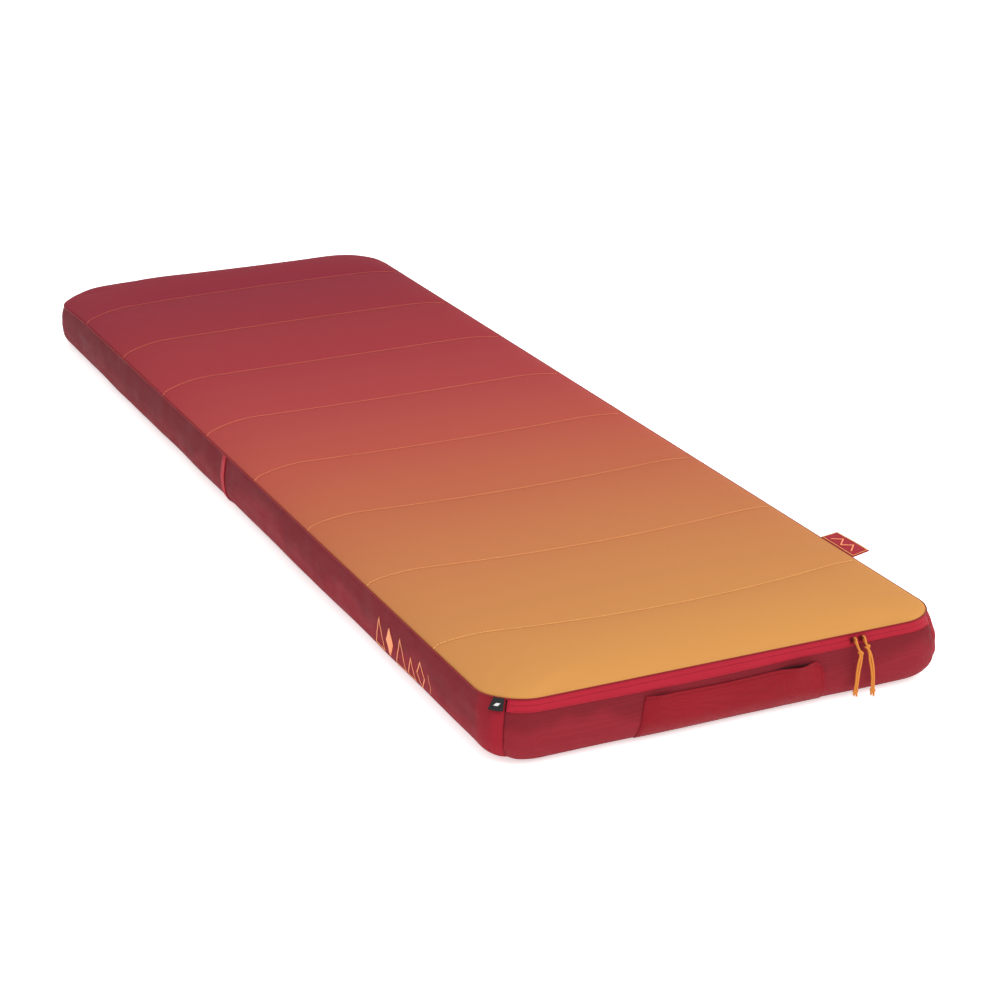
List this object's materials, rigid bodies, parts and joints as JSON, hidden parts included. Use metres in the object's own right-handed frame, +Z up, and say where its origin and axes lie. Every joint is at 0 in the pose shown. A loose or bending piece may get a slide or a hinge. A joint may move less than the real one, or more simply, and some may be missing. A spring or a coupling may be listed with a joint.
{
  "type": "inflatable sleeping pad",
  "caption": "Thick inflatable sleeping pad with a foam core and twist-cap valves, in a quilted cover with a foot-end zip, cord pulls, a patch pocket and side labels.",
  "frame": {"origin": "middle of the flat base, on the surface that the pad lies on", "axes": "+Z up; +Y from the foot end, which has the zip, to the head end; +X to the right seen from the foot"},
  "size_m": [0.6701, 1.975, 0.1],
  "materials": {
    "knit": "brushed stretch knit",
    "wadding": "polyester wadding",
    "wall_fabric": "coated plain weave",
    "base_fabric": "coated plain weave with a grip finish",
    "zip_tape": "woven zip tape",
    "zip_coil": "nylon coil",
    "slider_metal": "painted die casting",
    "pocket_fabric": "coated plain weave",
    "cord": "braided cord",
    "strap": "woven webbing",
    "black_label": "woven label",
    "mat_film": "film-coated fabric",
    "foam": "open-cell foam",
    "valve_plastic": "moulded nylon",
    "seal_rubber": "silicone rubber"
  },
  "bodies": {
    "pad": {"top_panel": "knit", "quilt_wadding": "wadding", "base_panel": "base_fabric", "side_wall_left_foot": "wall_fabric", "side_wall_left_head": "wall_fabric", "side_wall_right": "wall_fabric", "head_wall": "wall_fabric", "foot_wall": "wall_fabric", "foot_pocket": "pocket_fabric", "pocket_hem": "pocket_fabric", "side_strap": "strap", "side_label": "strap", "corner_label": "black_label", "zip_tape_upper": "zip_tape", "zip_tape_lower": "zip_tape", "zip_coil_upper": "zip_coil", "zip_coil_lower": "zip_coil", "zip_stop_left": "slider_metal", "zip_stop_right": "slider_metal", "mat_film_top": "mat_film", "mat_film_base": "mat_film", "mat_film_band": "mat_film", "foam_core": "foam", "inflate_valve_body": "valve_plastic", "deflate_valve_body": "valve_plastic"},
    "slider_left": {"zip_slider_left": "slider_metal"},
    "slider_right": {"zip_slider_right": "slider_metal"},
    "pull_left": {"pull_cord_left": "cord", "pull_knot_left": "cord"},
    "pull_right": {"pull_cord_right": "cord", "pull_knot_right": "cord"},
    "inflate_cap": {"inflate_valve_cap": "valve_plastic", "inflate_valve_seal": "seal_rubber"},
    "deflate_cap": {"deflate_valve_cap": "valve_plastic", "deflate_valve_seal": "seal_rubber"},
    "inflate_flap": {"inflate_valve_flap": "seal_rubber"}
  },
  "joints": [
    {"name": "slider_left_travel", "type": "slide", "parent": "pad", "child": "slider_left", "axis": [-1, 0, 0], "range_m": [0, 0.432]},
    {"name": "slider_right_travel", "type": "slide", "parent": "pad", "child": "slider_right", "axis": [1, 0, 0], "range_m": [0, 0.0685]},
    {"name": "pull_left_swing", "type": "hinge", "parent": "slider_left", "child": "pull_left", "pos_m": [0.1755, -0.97778, 0.08039], "axis": [-1, 0, 0], "range_deg": [0, 150]},
    {"name": "pull_right_swing", "type": "hinge", "parent": "slider_right", "child": "pull_right", "pos_m": [0.1885, -0.97778, 0.08039], "axis": [-1, 0, 0], "range_deg": [0, 150]},
    {"name": "inflate_cap_turn", "type": "hinge", "parent": "pad", "child": "inflate_cap", "pos_m": [-0.2, -0.9633, 0.04], "axis": [0, -1, 0], "range_deg": [0, 90]},
    {"name": "deflate_cap_turn", "type": "hinge", "parent": "pad", "child": "deflate_cap", "pos_m": [-0.14, -0.9633, 0.04], "axis": [0, -1, 0], "range_deg": [0, 90]},
    {"name": "inflate_flap_lift", "type": "slide", "parent": "pad", "child": "inflate_flap", "axis": [0, 1, 0], "range_m": [0, 0.0015], "stiffness_N_per_m": 5, "springref_m": -0.001}
  ]
}
